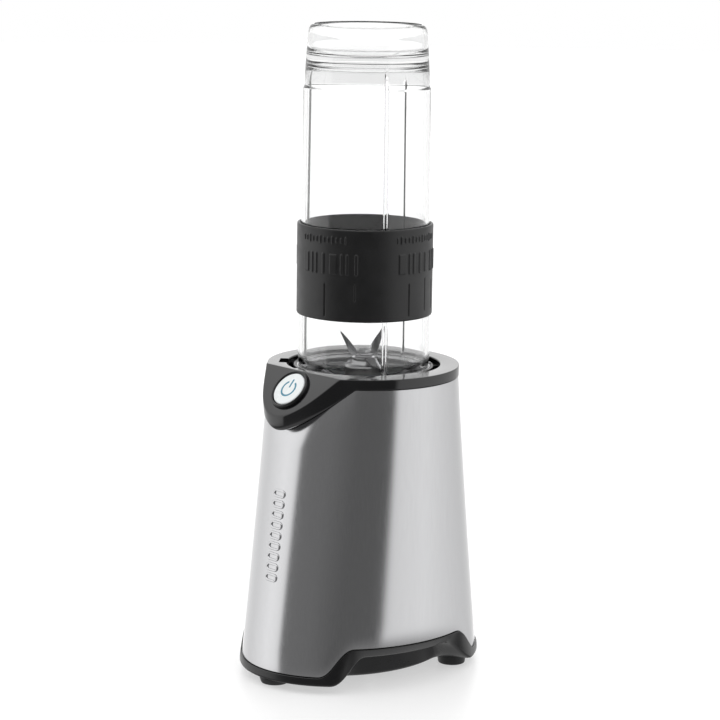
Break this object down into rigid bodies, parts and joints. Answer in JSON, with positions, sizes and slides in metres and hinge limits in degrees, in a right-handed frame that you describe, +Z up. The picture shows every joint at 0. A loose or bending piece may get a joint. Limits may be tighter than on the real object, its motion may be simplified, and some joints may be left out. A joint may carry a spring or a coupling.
{
  "type": "personal blender",
  "caption": "Countertop personal blender: tapered steel motor base with a chin button, twist-lock blade unit and clear bottle with a rubber grip sleeve, upside down.",
  "frame": {"origin": "on the floor, at the middle of the base's oval foot, under the bottle's axis", "axes": "+Z up along the bottle and the motor shaft; the power button faces -Y; +X is to the right for someone looking at the button"},
  "size_m": [0.1232, 0.1548, 0.3793],
  "materials": {
    "brushed_steel": "vertical brushed satin",
    "gloss_black": "gloss",
    "satin_black": "satin",
    "dark_rubber": "matt",
    "clear_tritan": "clear, glossy",
    "button_white": "satin",
    "teal_sign": "satin",
    "blade_steel": "polished",
    "copper_wire": "enamelled",
    "lamination": "varnished",
    "white_nylon": "satin",
    "brass_bush": "plain",
    "carbon": "matt",
    "circuit_board": "satin",
    "silicone": "matt"
  },
  "bodies": {
    "base": {"steel_skin": "brushed_steel", "top_collar": "gloss_black", "bottom_housing": "satin_black", "rubber_foot_front": "dark_rubber", "rubber_foot_right": "dark_rubber", "rubber_foot_left": "dark_rubber", "base_screw_1": "blade_steel", "base_screw_2": "blade_steel", "base_screw_3": "blade_steel", "cord_gland": "dark_rubber", "button_bezel": "satin_black", "power_switch": "satin_black", "recess_cup": "satin_black", "interlock_switch": "satin_black", "interlock_spring": "blade_steel", "motor_cage": "white_nylon", "motor_top_bracket": "lamination", "upper_bearing": "blade_steel", "motor_bottom_bracket": "lamination", "lower_bearing": "blade_steel", "stator_core": "lamination", "field_coil_front": "copper_wire", "field_coil_rear": "copper_wire", "brush_holder_left": "brass_bush", "brush_holder_right": "brass_bush", "carbon_brush_left": "carbon", "carbon_brush_right": "carbon", "brush_spring_left": "blade_steel", "brush_spring_right": "blade_steel", "control_board": "circuit_board"},
    "power_button": {"button_cap": "button_white", "power_symbol": "teal_sign"},
    "rotor": {"motor_shaft": "blade_steel", "armature_core": "lamination", "upper_winding": "copper_wire", "lower_winding": "copper_wire", "commutator": "brass_bush", "cooling_fan": "white_nylon", "drive_socket": "white_nylon"},
    "safety_pin": {"interlock_plunger": "white_nylon"},
    "cushion": {"cushion_ring": "dark_rubber"},
    "blade_unit": {"blade_holder": "satin_black", "spindle_housing": "blade_steel", "upper_bush": "brass_bush", "spindle_seal": "silicone", "lower_bush": "brass_bush"},
    "blades": {"blade_spindle": "blade_steel", "lower_blade": "blade_steel", "blade_washer": "blade_steel", "upper_blade": "blade_steel", "blade_nut": "blade_steel", "retaining_clip": "blade_steel", "drive_dog": "white_nylon"},
    "seal": {"bottle_seal": "silicone"},
    "bottle": {"bottle": "clear_tritan", "grip_sleeve": "dark_rubber"}
  },
  "joints": [
    {"name": "power_button_press", "type": "slide", "parent": "base", "child": "power_button", "axis": [0, 0.7431, -0.6691], "range_m": [0, 0.0012], "stiffness_N_per_m": 1500},
    {"name": "rotor_spin", "type": "hinge", "parent": "base", "child": "rotor", "pos_m": [0, 0, 0.09], "axis": [0, 0, 1], "continuous": true},
    {"name": "lock_twist", "type": "hinge", "parent": "base", "child": "cushion", "pos_m": [0, 0, 0.156], "axis": [0, 0, -1], "range_deg": [0, 24]},
    {"name": "unit_lift", "type": "slide", "parent": "cushion", "child": "blade_unit", "axis": [0, 0, 1], "range_m": [0, 0.08]},
    {"name": "blade_spin", "type": "hinge", "parent": "blade_unit", "child": "blades", "pos_m": [0, 0, 0.17], "axis": [0, 0, 1], "continuous": true},
    {"name": "bottle_turn", "type": "hinge", "parent": "blade_unit", "child": "seal", "pos_m": [0, 0, 0.166], "axis": [0, 0, 1], "range_deg": [0, 540]},
    {"name": "bottle_rise", "type": "slide", "parent": "seal", "child": "bottle", "axis": [0, 0, 1], "range_m": [0, 0.0062]},
    {"name": "interlock_press", "type": "slide", "parent": "base", "child": "safety_pin", "axis": [0, 0, -1], "range_m": [0, 0.0022], "stiffness_N_per_m": 200, "deforming": ["interlock_spring"]}
  ],
  "couplings": [
    {"joint": "blade_spin", "follows": "rotor_spin", "ratio": 1},
    {"joint": "bottle_rise", "follows": "bottle_turn", "m_per_rad": 0.000636},
    {"joint": "interlock_press", "follows": "lock_twist", "m_per_rad": 0.00477}
  ]
}
